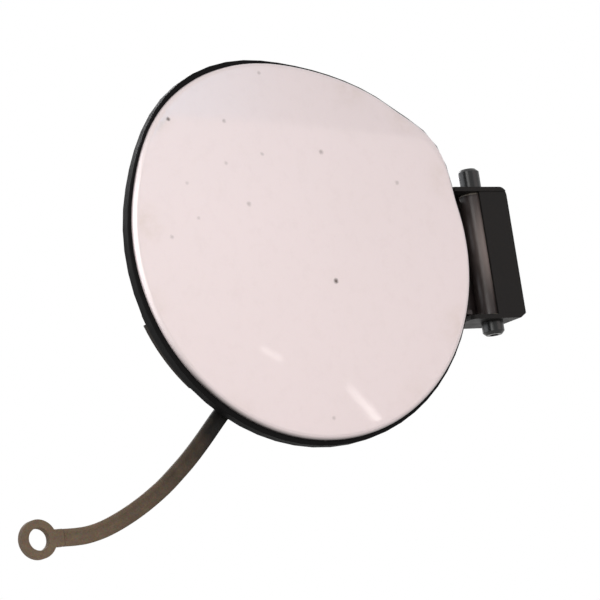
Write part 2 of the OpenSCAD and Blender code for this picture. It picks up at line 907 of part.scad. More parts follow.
module tether_anchor() {
    stem = 4.5;
    start = strap_points[0];
    lug = start - [anchor_x, anchor_z];
    color("#201f1f") {
        translate([anchor_x, anchor_seat_y, anchor_z])
            rotate([-90, 0, 0]) {
                cylinder(h = strap_y - anchor_seat_y + strap_t / 2, r = 6);
                translate([0, 0, -stem])
                    cylinder(h = stem + tiny, r = anchor_stem_r);
            }
        translate([anchor_x, strap_y, anchor_z])
            rotate([0, -atan2(lug[1], lug[0]), 0])
                translate([0, -strap_t / 2, -strap_w / 2])
                    cube([norm(lug), strap_t, strap_w]);
    }
}

// A point on the smooth curve through four points of the route
function curve_point(p, t) =
    0.5 * (
        2 * p[1]
        + t * (p[2] - p[0])
        + t * t * (2 * p[0] - 5 * p[1] + 4 * p[2] - p[3])
        + t * t * t * (3 * p[1] - p[0] - 3 * p[2] + p[3])
    );

// The route in short steps, with its two ends kept as they are
function fine_route(p, turns) =
    let (
        n = len(p),
        padded = concat([2 * p[0] - p[1]], p, [2 * p[n - 1] - p[n - 2]])
    )
    concat(
        [for (i = [0 : n - 2], k = [0 : turns - 1])
            curve_point([for (j = [0 : 3]) padded[i + j]], k / turns)],
        [p[n - 1]]
    );

module tether_strap() {
    route = fine_route(strap_points, strap_turns);
    n = len(route);
    tangents = [
        for (i = [0 : n - 1])
            let (
                ahead = route[min(i + 1, n - 1)],
                behind = route[max(i - 1, 0)],
                step = i == n - 1 ? [-1, 0] : i == 0 ? strap_points[0] - [anchor_x, anchor_z]
                    : ahead - behind
            )
            step / norm(step)
    ];
    points = [
        for (i = [0 : n - 1], k = [0 : strap_sides - 1])
            let (
                at = 360 * (k + 0.5) / strap_sides,
                across = strap_w / 2 * cos(at) / cos(180 / strap_sides),
                deep = strap_t / 2 * sin(at) / cos(180 / strap_sides)
            )
            [
                route[i][0] - across * tangents[i][1],
                strap_y + deep,
                route[i][1] + across * tangents[i][0]
            ]
    ];
    s = strap_sides;
    faces = concat(
        [[for (k = [0 : s - 1]) k]],
        [for (i = [0 : n - 2], k = [0 : s - 1])
            [s * i + k, s * (i + 1) + k, s * (i + 1) + (k + 1) % s, s * i + (k + 1) % s]],
        [[for (k = [s - 1 : -1 : 0]) s * (n - 1) + k]]
    );
    color("#3f352d")
        polyhedron(points, faces, convexity = 8);
}

module tether_eyelet() {
    end = strap_points[len(strap_points) - 1];
    eye_t = strap_t;
    eye_x = end[0] - eye_neck - sqrt(pow(eye_outer_r, 2) - pow(strap_w / 2, 2));
    color("#3a3029")
        translate([eye_x, strap_y, end[1]])
            difference() {
                union() {
                    rotate([90, 0, 0])
                        cylinder(h = eye_t, r = eye_outer_r, center = true);
                    translate([0, -eye_t / 2, -strap_w / 2])
                        cube([end[0] - eye_x, eye_t, strap_w]);
                }
                rotate([90, 0, 0])
                    cylinder(h = 3 * eye_t, r = eye_r, center = true);
            }
}

door_skin();
door_carrier();
skin_push_nuts();
hinge_arm();
arm_screws();
upper_bush();
lower_bush();
hinge_pin();
hinge_base();
over_centre_spring();
open_stop_pad();
latch_striker();
striker_screws();
buffer_top();
buffer_free_upper();
buffer_free_lower();
buffer_bottom();
cap_cradle();
tether_anchor();
tether_strap();
tether_eyelet();
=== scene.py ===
"""The looks of a car fuel door: a painted flap on a black carrier with its hinge and tether."""
import math

import bpy
from mathutils import Matrix, Vector


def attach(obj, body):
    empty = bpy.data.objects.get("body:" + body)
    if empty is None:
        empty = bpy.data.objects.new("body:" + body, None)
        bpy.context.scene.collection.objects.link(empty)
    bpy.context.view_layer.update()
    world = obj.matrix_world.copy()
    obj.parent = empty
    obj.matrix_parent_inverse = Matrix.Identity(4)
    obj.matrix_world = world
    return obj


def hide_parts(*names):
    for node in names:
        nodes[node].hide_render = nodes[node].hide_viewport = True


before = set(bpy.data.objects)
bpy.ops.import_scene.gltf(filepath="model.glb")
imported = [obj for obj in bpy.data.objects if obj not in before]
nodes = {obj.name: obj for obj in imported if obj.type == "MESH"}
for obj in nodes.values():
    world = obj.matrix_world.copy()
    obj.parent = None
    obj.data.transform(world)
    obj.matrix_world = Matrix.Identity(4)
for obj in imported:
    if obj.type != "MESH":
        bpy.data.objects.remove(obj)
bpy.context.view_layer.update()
scene = bpy.context.scene
scene.view_settings.view_transform = "Standard"
mm = 0.001

# The camera: a long lens a step away, low and on the free side of the flap, looking a
# little up at it and rolled a little, as a hand-held telephoto would be.
picture_px = 600
view_distance = 1.2
view_azimuth = math.radians(-33.72)
view_elevation = math.radians(-10.53)
view_roll = math.radians(8.56)
view_aim = Vector((-105.9, -20, -19.4)) * mm
focal_px = 2797
towards_camera = Vector((
    math.sin(view_azimuth) * math.cos(view_elevation),
    -math.cos(view_azimuth) * math.cos(view_elevation),
    math.sin(view_elevation),
))
camera_data = bpy.data.cameras.new("camera")
camera_data.sensor_width = 36
camera_data.lens = focal_px / picture_px * camera_data.sensor_width
camera_data.clip_start = 0.05
camera_data.clip_end = 60
camera = bpy.data.objects.new("camera", camera_data)
camera.rotation_mode = "QUATERNION"
camera.location = view_aim + view_distance * towards_camera
camera.rotation_quaternion = (
    (-towards_camera).to_track_quat("-Z", "Y").to_matrix()
    @ Matrix.Rotation(-view_roll, 3, "Z")
).to_quaternion()
scene.collection.objects.link(camera)
scene.camera = camera

# The tether strap of the fuel cap: one flat, flexible moulding of thermoplastic elastomer,
# black when new and now brown with road dust rubbed into its pores. It leaves a push-in
# anchor behind the rim and ends in an eyelet. Its route is the one in the part's source.
strap_y = -18 * mm
strap_w = 7 * mm
strap_t = 3.6 * mm
strap_route = [
    (-141, -56.5), (-146, -61), (-153.5, -68), (-163, -77.5), (-170.5, -84.5),
    (-176.5, -89.5), (-185, -96), (-195.5, -102.5), (-205.5, -107.5), (-214.5, -111),
    (-222, -112.8), (-228, -113.3), (-234, -113.3),
]
strap_turns = 6


def linear(hex_colour):
    """An sRGB hex colour as the linear numbers that a shader takes."""
    channels = [int(hex_colour[i:i + 2], 16) / 255 for i in (1, 3, 5)]
    light = [c / 12.92 if c <= 0.04045 else ((c + 0.055) / 1.055) ** 2.4 for c in channels]
    return (*light, 1)


def curve_point(p, t):
    """A point on the smooth curve between the second and third of four points."""
    return tuple(
        0.5 * (
            2 * b
            + t * (c - a)
            + t * t * (2 * a - 5 * b + 4 * c - d)
            + t ** 3 * (3 * b - a - 3 * c + d)
        )
        for a, b, c, d in zip(*p)
    )


def fine_route(points, turns):
    """The route in short steps, with its two ends kept as they are."""
    first = tuple(2 * a - b for a, b in zip(points[0], points[1]))
    last = tuple(2 * a - b for a, b in zip(points[-1], points[-2]))
    padded = [first, *points, last]
    fine = [
        curve_point(padded[i:i + 4], k / turns)
        for i in range(len(points) - 1)
        for k in range(turns)
    ]
    return fine + [points[-1]]


def add_mesh(name, vertices, faces, smooth=True):
    """A new mesh object in the scene, in the frame's own place."""
    mesh = bpy.data.meshes.new(name)
    mesh.from_pydata(vertices, [], faces)
    mesh.validate()
    for polygon in mesh.polygons:
        polygon.use_smooth = smooth
    piece = bpy.data.objects.new(name, mesh)
    scene.collection.objects.link(piece)
    return piece


strap_path = [Vector((x * mm, strap_y, z * mm)) for x, z in fine_route(strap_route, strap_turns)]
# The section has rounded corners and a shallow groove along the middle of each broad face
strap_corner = 1.1 * mm
corner_steps = 4
groove_half = 1.5 * mm
groove_deep = 0.45 * mm
half_w = strap_w / 2
half_t = strap_t / 2
strap_section = []
for quarter in range(4):
    side_w = 1 if quarter in (0, 3) else -1
    side_t = 1 if quarter in (0, 1) else -1
    for step in range(corner_steps + 1):
        turn = math.radians(90 * (quarter + step / corner_steps))
        strap_section.append((
            side_w * (half_w - strap_corner) + strap_corner * math.cos(turn),
            side_t * (half_t - strap_corner) + strap_corner * math.sin(turn),
        ))
    if quarter in (0, 2):
        for x, deep in ((1.2, 0), (0.9, 1), (-0.9, 1), (-1.2, 0)):
            strap_section.append((side_t * x * groove_half, side_t * (half_t - deep * groove_deep)))

strap_vertices = []
for i, point in enumerate(strap_path):
    ahead = strap_path[min(i + 1, len(strap_path) - 1)]
    behind = strap_path[max(i - 1, 0)]
    along = (ahead - behind).normalized()
    if i == len(strap_path) - 1:
        along = Vector((-1, 0, 0))
    across = Vector((-along.z, 0, along.x))
    for w, t in strap_section:
        strap_vertices.append(point + across * w + Vector((0, t, 0)))
ring = len(strap_section)
strap_faces = [
    (ring * i + k, ring * i + (k + 1) % ring, ring * (i + 1) + (k + 1) % ring, ring * (i + 1) + k)
    for i in range(len(strap_path) - 1)
    for k in range(ring)
]
strap_faces.append(tuple(range(ring - 1, -1, -1)))
strap_faces.append(tuple(ring * (len(strap_path) - 1) + k for k in range(ring)))
strap = add_mesh("fuel_cap_strap", strap_vertices, strap_faces)
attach(strap, "flap_body")
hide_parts("tether_strap")


def add_node(tree, kind, settings, inputs):
    """Adds a node, sets it, and gives each input a value or another node's output."""
    new = tree.nodes.new(kind)
    for name, value in settings.items():
        setattr(new, name, value)
    for name, value in inputs.items():
        if isinstance(value, bpy.types.NodeSocket):
            tree.links.new(value, new.inputs[name])
        else:
            new.inputs[name].default_value = value
    return new


def new_material(name):
    """An empty node material and the object coordinates that its patterns ride on."""
    material = bpy.data.materials.new(name)
    material.use_nodes = True
    material.node_tree.nodes.clear()
    place = add_node(material.node_tree, "ShaderNodeTexCoord", {}, {}).outputs["Object"]
    return material, material.node_tree, place


def finish_material(tree, shader):
    """Sends a shader to the material's surface."""
    add_node(tree, "ShaderNodeOutputMaterial", {}, {"Surface": shader.outputs["BSDF"]})


# Thermoplastic elastomer, moulded matt: no shine, a deep brown-black near the rim, turning
# to brown road dust towards the hanging end, blotched where it was handled.
strap_rubber, tree, place = new_material("dusty_thermoplastic_elastomer")
blotches = add_node(tree, "ShaderNodeTexNoise", {}, {
    "Vector": place, "Scale": 1 / (9 * mm), "Detail": 5, "Roughness": 0.6})
# Its real pores are about 0.2 mm wide; they are drawn 0.9 mm wide so that they show
pores = add_node(tree, "ShaderNodeTexNoise", {}, {
    "Vector": place, "Scale": 1 / (0.9 * mm), "Detail": 3, "Roughness": 0.6})
along_strap = add_node(tree, "ShaderNodeSeparateXYZ", {}, {"Vector": place})
past_rim = add_node(tree, "ShaderNodeMapRange", {}, {
    "Value": along_strap.outputs["X"],
    "From Min": -156 * mm, "From Max": -174 * mm, "To Min": -0.38, "To Max": 0.06})
towards_end = add_node(tree, "ShaderNodeMapRange", {}, {
    "Value": along_strap.outputs["X"],
    "From Min": -176 * mm, "From Max": -225 * mm, "To Min": 0, "To Max": 0.45})
dust_length = add_node(tree, "ShaderNodeMath", {"operation": "ADD"}, {
    0: past_rim.outputs["Result"], 1: towards_end.outputs["Result"]})
dust_share = add_node(tree, "ShaderNodeMath", {"operation": "MULTIPLY_ADD", "use_clamp": True}, {
    0: blotches.outputs["Fac"], 1: 0.6, 2: dust_length.outputs["Value"]})
dusted = add_node(tree, "ShaderNodeMix", {"data_type": "RGBA"}, {
    "Factor": dust_share.outputs["Value"], 6: linear("#0f0d0a"), 7: linear("#7a6753")})
speckled = add_node(tree, "ShaderNodeMix", {"data_type": "RGBA", "blend_type": "OVERLAY"}, {
    "Factor": 0.5, 6: dusted.outputs[2], 7: pores.outputs["Color"]})
pore_bump = add_node(tree, "ShaderNodeBump", {}, {
    "Height": pores.outputs["Fac"], "Distance": 0.15 * mm, "Strength": 0.6})
strap_shader = add_node(tree, "ShaderNodeBsdfPrincipled", {}, {
    "Base Color": speckled.outputs[2], "Roughness": 0.85, "IOR": 1.48,
    "Specular IOR Level": 0.3, "Normal": pore_bump.outputs["Normal"]})
finish_material(tree, strap_shader)
strap.data.materials.append(strap_rubber)
for eyelet_slot in nodes["tether_eyelet"].material_slots:
    eyelet_slot.material = strap_rubber

# The studio: a pale matt floor well below the object, a white surround for the camera and
# for reflections, and soft lamps that light the object at a plain level.


def shown_white(tree):
    """1 where the camera, a reflection or glass looks, 0 for light that falls on the object."""
    seen_by = add_node(tree, "ShaderNodeLightPath", {}, {})
    seen_or_mirrored = add_node(tree, "ShaderNodeMath", {"operation": "MAXIMUM"}, {
        0: seen_by.outputs["Is Camera Ray"], 1: seen_by.outputs["Is Glossy Ray"]})
    return add_node(tree, "ShaderNodeMath", {"operation": "MAXIMUM"}, {
        0: seen_or_mirrored.outputs["Value"],
        1: seen_by.outputs["Is Transmission Ray"]}).outputs["Value"]


floor_z = -270 * mm
floor_half = 3
floor_sheet = add_mesh("floor", [
    (-floor_half, -floor_half, floor_z), (floor_half, -floor_half, floor_z),
    (floor_half, floor_half, floor_z), (-floor_half, floor_half, floor_z),
], [(0, 1, 2, 3)], smooth=False)
pale_card, tree, place = new_material("pale_matt_paper")
paper_fibres = add_node(tree, "ShaderNodeTexNoise", {}, {
    "Vector": place, "Scale": 1 / (4 * mm), "Detail": 4})
paper_tone = add_node(tree, "ShaderNodeMix", {"data_type": "RGBA"}, {
    "Factor": paper_fibres.outputs["Fac"], 6: linear("#f2f1ef"), 7: linear("#f7f6f4")})
matt_paper = add_node(tree, "ShaderNodeBsdfPrincipled", {}, {
    "Base Color": paper_tone.outputs[2], "Roughness": 0.95, "Specular IOR Level": 0.2})
# The camera and reflections see the paper nearly white, with a share of its real light and
# shadow kept under the object, and far from it the paper fades into the surround
shadow_kept_to = 0.4
faded_from = 1.9
whitened_share = 0.7
white_paper = add_node(tree, "ShaderNodeEmission", {}, {
    "Color": paper_tone.outputs[2], "Strength": 1.08})
far_off = add_node(tree, "ShaderNodeVectorMath", {"operation": "LENGTH"}, {0: place})
evened = add_node(tree, "ShaderNodeMapRange", {"interpolation_type": "SMOOTHSTEP"}, {
    "Value": far_off.outputs["Value"], "From Min": shadow_kept_to, "From Max": faded_from,
    "To Min": whitened_share, "To Max": 1})
whitened = add_node(tree, "ShaderNodeMath", {"operation": "MULTIPLY"}, {
    0: shown_white(tree), 1: evened.outputs["Result"]})
paper_mix = add_node(tree, "ShaderNodeMixShader", {}, {
    0: whitened.outputs["Value"],
    1: matt_paper.outputs["BSDF"], 2: white_paper.outputs["Emission"]})
add_node(tree, "ShaderNodeOutputMaterial", {}, {"Surface": paper_mix.outputs["Shader"]})
floor_sheet.data.materials.append(pale_card)

surround_level = 0.46
surround = bpy.data.worlds.new("white_surround")
scene.world = surround
surround.use_nodes = True
tree = surround.node_tree
tree.nodes.clear()
fill_light = add_node(tree, "ShaderNodeBackground", {}, {
    "Color": linear("#fafaff"), "Strength": surround_level})
white_sky = add_node(tree, "ShaderNodeBackground", {}, {"Color": (1, 1, 1, 1), "Strength": 1})
surround_mix = add_node(tree, "ShaderNodeMixShader", {}, {
    0: shown_white(tree),
    1: fill_light.outputs["Background"], 2: white_sky.outputs["Background"]})
add_node(tree, "ShaderNodeOutputWorld", {}, {"Surface": surround_mix.outputs["Shader"]})

flap_middle = Vector((-103.3, -30, 2.7)) * mm


def soft_lamp(
        name, azimuth, elevation, distance, width, height, radiance, colour,
        roll=0, aside=(0, 0)):
    """A flat soft lamp that faces the flap's middle, as bright as it is told in a reflection."""
    lamp_data = bpy.data.lights.new(name, "AREA")
    lamp_data.shape = "RECTANGLE"
    lamp_data.size = width
    lamp_data.size_y = height
    lamp_data.energy = radiance * math.pi * width * height
    lamp_data.color = linear(colour)[:3]
    lamp = bpy.data.objects.new(name, lamp_data)
    turn, rise = math.radians(azimuth), math.radians(elevation)
    towards_lamp = Vector((
        math.sin(turn) * math.cos(rise), -math.cos(turn) * math.cos(rise), math.sin(rise)))
    facing = (-towards_lamp).to_track_quat("-Z", "Y").to_matrix()
    lamp.rotation_mode = "QUATERNION"
    lamp.location = flap_middle + distance * towards_lamp + facing @ Vector((*aside, 0))
    turned = facing @ Matrix.Rotation(math.radians(roll), 3, "Z")
    lamp.rotation_quaternion = turned.to_quaternion()
    lamp.visible_camera = False
    scene.collection.objects.link(lamp)
    return lamp


def fade_across(lamp, strengths, far_share=1):
    """Makes a lamp's light change evenly from its first side to a share of its width."""
    lamp.data.use_nodes = True
    tree = lamp.data.node_tree
    spot = add_node(tree, "ShaderNodeNewGeometry", {}, {}).outputs["Parametric"]
    across = add_node(tree, "ShaderNodeSeparateXYZ", {}, {"Vector": spot})
    fade = add_node(tree, "ShaderNodeMapRange", {}, {
        "Value": across.outputs["X"], "From Min": 0, "From Max": far_share,
        "To Min": strengths[0], "To Max": strengths[1]})
    tree.links.new(fade.outputs["Result"], tree.nodes["Emission"].inputs["Strength"])


# The large card is what the lower part of the flap mirrors: its upper edge draws the faint
# line across the paint. The strip is the short streak low on the right, brightest at its
# lower end, and the glint is a fainter one left of it. Above the card the flap mirrors blue
# sky, which fades from left to right.
mirrored_at = (34, 8)
card_distance = 1.3
card_roll = -10.5
strip_distance = 1.25
soft_lamp("window_card", *mirrored_at, card_distance, 0.86, 0.62, 1.04, "#ffebe8",
          roll=card_roll, aside=(0.008, -0.046))
window_strip = soft_lamp(
    "window_strip", *mirrored_at, strip_distance, 0.078, 0.013, 1, "#fffaf6",
    roll=-50.3, aside=(0.048, -0.163))
fade_across(window_strip, (1.9, 5.4))
soft_lamp("window_glint", *mirrored_at, strip_distance, 0.038, 0.009, 2.6, "#fffaf6",
          roll=-33, aside=(-0.098, -0.078))
# Plain fill from the front, the left and behind, kept out of what the flap mirrors
soft_lamp("front_fill", -40, 14, 0.4, 0.19, 0.28, 3.2, "#fffdf9")
soft_lamp("left_fill", -88, 16, 0.45, 0.16, 0.3, 0.8, "#ffffff")
soft_lamp("back_fill", 174, 24, 0.5, 0.34, 0.26, 8, "#fdfdff")
# Bright sky on the left, for reflections alone: it whitens the flap's rounded left edge
left_sky = soft_lamp("left_sky", -92, 6, 0.6, 1.3, 1.1, 1.8, "#f4f8ff")
left_sky.visible_diffuse = False
sky_card = soft_lamp("sky_card", *mirrored_at, card_distance, 0.78, 0.19, 1, "#56d2ff",
                     roll=card_roll, aside=(-0.06, 0.374))
fade_across(sky_card, (2.7, 0), 0.62)

# The painted skin: pressed steel, crowned, its edge rounded and turned back over the
# carrier, with six studs welded inside. Its rings follow the outline in the part's source.
flap_x = -103.3 * mm
flap_z = 2.7 * mm
face_y = -29 * mm
flap_r = 85 * mm
crown = 2.4 * mm
skin_t = 1.2 * mm
skin_lip = 3.4 * mm
skin_edge_r = 2.2 * mm
outline_swells = [(4.2 * mm, 30, 19), (-4.8 * mm, 77, 45), (1.8 * mm, 136, 28)]
skin_steps = 240
lip_chamfer_y = 0.3 * mm
lip_chamfer_r = 0.1 * mm
inner_bend_r = 0.4 * mm
inner_bend_y = 0.7 * mm


def edge_radius(at):
    """Distance of the painted edge from the flap's middle in a direction, in degrees."""
    r = flap_r
    for rise, middle, spread in outline_swells:
        off = abs((at - middle + 180) % 360 - 180)
        if off < spread:
            r += rise * math.cos(math.radians(90 * off / spread)) ** 2
    return r


# Each ring: its share of the face's radius, how far it is inside the edge, how far behind
# the face, and how much of the crown it keeps. They go over the front, round the edge,
# along the lip and back over the inside.
face_rings = 36
inner_rings = 12
skin_rings = [(k / face_rings, 0, 0, 1) for k in range(1, face_rings)]
for bend in range(0, 91, 9):
    round_to_side = math.sin(math.radians(bend))
    open_share = math.cos(math.radians(bend))
    skin_rings.append((
        1, skin_edge_r * (1 - round_to_side), skin_edge_r * (1 - open_share), open_share))
skin_rings += [
    (1, 0, skin_lip - lip_chamfer_y, 0), (1, lip_chamfer_r, skin_lip, 0),
    (1, skin_t - lip_chamfer_r, skin_lip, 0), (1, skin_t, skin_lip - lip_chamfer_y, 0),
    (1, skin_t, skin_edge_r, 0),
    (1, skin_t + inner_bend_r, skin_edge_r - inner_bend_y, 0),
    (1, skin_edge_r, skin_t, 1),
]
skin_rings += [(k / inner_rings, 0, skin_t, 1) for k in range(inner_rings - 1, 0, -1)]

skin_vertices = []
edge_distances = []
for share, inset, depth, open_crown in skin_rings:
    for step in range(skin_steps):
        at = 360 * step / skin_steps
        # The face's own rings end where the rounded edge begins
        edge_start = edge_radius(at) - skin_edge_r
        r = share * edge_start if share < 1 else edge_radius(at) - inset
        bowed = crown * (1 - (r / flap_r) ** 2)
        stands_out = open_crown * bowed + (1 - open_crown) * max(0, bowed)
        turn = math.radians(at)
        skin_vertices.append((
            flap_x + r * math.cos(turn), face_y + depth - stands_out, flap_z + r * math.sin(turn)))
        edge_distances.append(edge_radius(at) - r)
last_ring = skin_steps * (len(skin_rings) - 1)
skin_vertices += [(flap_x, face_y - crown, flap_z), (flap_x, face_y + skin_t - crown, flap_z)]
edge_distances += [flap_r, flap_r]
front_middle, back_middle = len(skin_vertices) - 2, len(skin_vertices) - 1
skin_faces = []
for step in range(skin_steps):
    beside = (step + 1) % skin_steps
    skin_faces.append((front_middle, step, beside))
    skin_faces.append((back_middle, last_ring + beside, last_ring + step))
    for k in range(len(skin_rings) - 1):
        here, there = k * skin_steps, (k + 1) * skin_steps
        skin_faces.append((here + step, there + step, there + beside, here + beside))

# Welded studs, each a plain round pin with a small chamfer, sunk a little in the skin. They
# count as far from the painted edge, whose dirt doesn't reach them.
stud_r = 1.9 * mm
stud_ring_r = 66 * mm
stud_reach = 9 * mm
stud_end_y = face_y + stud_reach
stud_chamfer = 0.4 * mm
stud_sides = 24
stud_angles = (48, 95, 150, 212, 265, 312)
for at in stud_angles:
    turn = math.radians(at)
    x, z = flap_x + stud_ring_r * math.cos(turn), flap_z + stud_ring_r * math.sin(turn)
    root_y = face_y + skin_t / 2 - crown * (1 - (stud_ring_r / flap_r) ** 2)
    start = len(skin_vertices)
    for y, r in (
            (root_y, stud_r),
            (stud_end_y - stud_chamfer, stud_r),
            (stud_end_y, stud_r - stud_chamfer)):
        for side in range(stud_sides):
            spin = 2 * math.pi * side / stud_sides
            skin_vertices.append((x + r * math.cos(spin), y, z + r * math.sin(spin)))
            edge_distances.append(flap_r)
    for k in range(2):
        for side in range(stud_sides):
            a = start + k * stud_sides + side
            b = start + k * stud_sides + (side + 1) % stud_sides
            skin_faces.append((a, b, b + stud_sides, a + stud_sides))
    skin_faces.append(tuple(start + side for side in range(stud_sides - 1, -1, -1)))
    skin_faces.append(tuple(start + 2 * stud_sides + side for side in range(stud_sides)))

painted_skin = add_mesh("painted_skin", skin_vertices, skin_faces)
# Each point keeps its distance from the painted edge, for the dirt that gathers along it
to_edge = painted_skin.data.attributes.new("edge_distance", "FLOAT", "POINT")
to_edge.data.foreach_set("value", edge_distances)
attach(painted_skin, "flap_body")
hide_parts("door_skin")

# Metallic body paint under clear lacquer, sprayed: a pale, slightly pink silver-white whose
# flakes give it a soft sheen, and a mirror-smooth coat over them that reflects the card.
body_paint, tree, place = new_material("metallic_paint_under_lacquer")
flat_place = add_node(tree, "ShaderNodeVectorMath", {"operation": "MULTIPLY"}, {
    0: place, 1: (1, 0, 1)})
old_tone = add_node(tree, "ShaderNodeTexNoise", {}, {
    "Vector": place, "Scale": 1 / (60 * mm), "Detail": 2})
paint_tone = add_node(tree, "ShaderNodeMix", {"data_type": "RGBA"}, {
    "Factor": old_tone.outputs["Fac"], 6: linear("#e6d8d6"), 7: linear("#ebdcdb")})
# Real flakes are under 0.05 mm; they are drawn 0.6 mm wide so that the sheen has some grain
flakes = add_node(tree, "ShaderNodeTexNoise", {}, {
    "Vector": place, "Scale": 1 / (0.6 * mm), "Detail": 1})
flaked = add_node(tree, "ShaderNodeMix", {"data_type": "RGBA", "blend_type": "SOFT_LIGHT"}, {
    "Factor": 0.06, 6: paint_tone.outputs[2], 7: flakes.outputs["Color"]})
# A film of dried dirt: soft stains about 7 mm across, and dots of a millimetre or two
stains = add_node(tree, "ShaderNodeTexNoise", {}, {
    "Vector": flat_place.outputs["Vector"], "Scale": 1 / (7 * mm), "Detail": 6, "Roughness": 0.7})
stain_share = add_node(tree, "ShaderNodeMapRange", {}, {
    "Value": stains.outputs["Fac"], "From Min": 0.5, "From Max": 0.8, "To Min": 0, "To Max": 0.16})
stained = add_node(tree, "ShaderNodeMix", {"data_type": "RGBA"}, {
    "Factor": stain_share.outputs["Result"], 6: flaked.outputs[2], 7: linear("#cdbab6")})
dots = add_node(tree, "ShaderNodeTexVoronoi", {"feature": "F1"}, {
    "Vector": flat_place.outputs["Vector"], "Scale": 1 / (15 * mm), "Randomness": 1})
dot_size = add_node(tree, "ShaderNodeSeparateColor", {}, {"Color": dots.outputs["Color"]})
dot_reach = add_node(tree, "ShaderNodeMath", {"operation": "MULTIPLY_ADD"}, {
    0: dot_size.outputs["Red"], 1: 0.12, 2: -0.048})
dot_inside = add_node(tree, "ShaderNodeMath", {"operation": "SUBTRACT"}, {
    0: dot_reach.outputs["Value"], 1: dots.outputs["Distance"]})
dot_share = add_node(tree, "ShaderNodeMapRange", {}, {
    "Value": dot_inside.outputs["Value"], "From Min": 0, "From Max": 0.03,
    "To Min": 0, "To Max": 0.4})
dotted = add_node(tree, "ShaderNodeMix", {"data_type": "RGBA"}, {
    "Factor": dot_share.outputs["Result"], 6: stained.outputs[2], 7: linear("#a58f86")})
# Yellow-brown grime that polishing never reaches, in patches along the last millimetres:
# place from the hinge's axis, reach and share
grime_spots = [
    (-183.5, 13, 14, 0.3), (-168.4, 57, 8, 0.45), (-185, -22, 12, 0.25), (-25, 32, 15, 0.22),
    (-30, -36, 16, 0.25), (-57, -69, 16, 0.2), (-152, -69, 12, 0.2), (-69, 75, 16, 0.25),
    (-43, 61, 12, 0.35),
]
to_rim = add_node(tree, "ShaderNodeAttribute", {"attribute_name": "edge_distance"}, {})
grime_noise = add_node(tree, "ShaderNodeTexNoise", {}, {
    "Vector": place, "Scale": 1 / (7 * mm), "Detail": 6, "Roughness": 0.65})
grime_patch = add_node(tree, "ShaderNodeMapRange", {}, {
    "Value": grime_noise.outputs["Fac"], "From Min": 0.35, "From Max": 0.7,
    "To Min": 0.15, "To Max": 1})


def strongest(marks):
    """The largest of several marks' shares at each point."""
    shares = [mark.outputs["Result"] for mark in marks]
    top = shares[0]
    for share in shares[1:]:
        top = add_node(tree, "ShaderNodeMath", {"operation": "MAXIMUM"}, {
            0: top, 1: share}).outputs["Value"]
    return top


grime_marks = []
for x, z, reach, share in grime_spots:
    away = add_node(tree, "ShaderNodeVectorMath", {"operation": "DISTANCE"}, {
        0: flat_place.outputs["Vector"], 1: (x * mm, 0, z * mm)})
    grime_marks.append(add_node(
        tree, "ShaderNodeMapRange", {"interpolation_type": "SMOOTHSTEP"}, {
            "Value": away.outputs["Value"], "From Min": reach * mm, "From Max": 0,
            "To Min": 0, "To Max": share}))
off_bend = add_node(tree, "ShaderNodeMapRange", {}, {
    "Value": to_rim.outputs["Fac"], "From Min": 1.8 * mm, "From Max": 3 * mm,
    "To Min": 0.2, "To Max": 1})
grime_kept = add_node(tree, "ShaderNodeMath", {"operation": "MULTIPLY"}, {
    0: strongest(grime_marks), 1: off_bend.outputs["Result"]})
grime_share = add_node(tree, "ShaderNodeMath", {"operation": "MULTIPLY"}, {
    0: grime_kept.outputs["Value"], 1: grime_patch.outputs["Result"]})
grimed = add_node(tree, "ShaderNodeMix", {"data_type": "RGBA"}, {
    "Factor": grime_share.outputs["Value"], 6: dotted.outputs[2], 7: linear("#b9a488")})
# Painted shade and road film along the lower half of the turned-back edge, nearly black next to the
# rim
height = add_node(tree, "ShaderNodeSeparateXYZ", {}, {"Vector": place}).outputs["Z"]
low_down = add_node(tree, "ShaderNodeMapRange", {}, {
    "Value": height, "From Min": -36 * mm, "From Max": -58 * mm, "To Min": 0, "To Max": 1})
next_to_rim = add_node(tree, "ShaderNodeMapRange", {}, {
    "Value": to_rim.outputs["Fac"], "From Min": 1.3 * mm, "From Max": 0.1 * mm,
    "To Min": 0, "To Max": 0.9})
edge_shade_share = add_node(tree, "ShaderNodeMath", {"operation": "MULTIPLY"}, {
    0: low_down.outputs["Result"], 1: next_to_rim.outputs["Result"]})
edge_shaded = add_node(tree, "ShaderNodeMix", {"data_type": "RGBA"}, {
    "Factor": edge_shade_share.outputs["Value"], 6: grimed.outputs[2], 7: linear("#2e2a29")})
# Stone chips down to the dark primer: place from the hinge's axis, radius and depth of tone
stone_chips = [
    (-164.3, 58.0, 1.0, 0.85), (-93.6, -14.0, 1.2, 0.95), (-137.4, 57.2, 0.9, 0.4),
    (-115.7, 79.2, 0.9, 0.35), (-90.8, 43.6, 1.2, 0.45), (-121.2, 42.5, 0.8, 0.3),
    (-131.7, 20.4, 1.1, 0.35), (-157.0, 14.6, 0.8, 0.25), (-160.1, 29.9, 0.8, 0.25),
    (-171.0, 6.7, 0.9, 0.3), (-52.9, 29.8, 1.1, 0.3), (-104.1, -73.1, 0.9, 0.3),
    (-139.8, 38.5, 0.8, 0.25),
]
ragged = add_node(tree, "ShaderNodeTexNoise", {}, {
    "Vector": place, "Scale": 1 / (1.2 * mm), "Detail": 2})
ragged_by = add_node(tree, "ShaderNodeMath", {"operation": "MULTIPLY"}, {
    0: ragged.outputs["Fac"], 1: 0.9 * mm})
chips = []
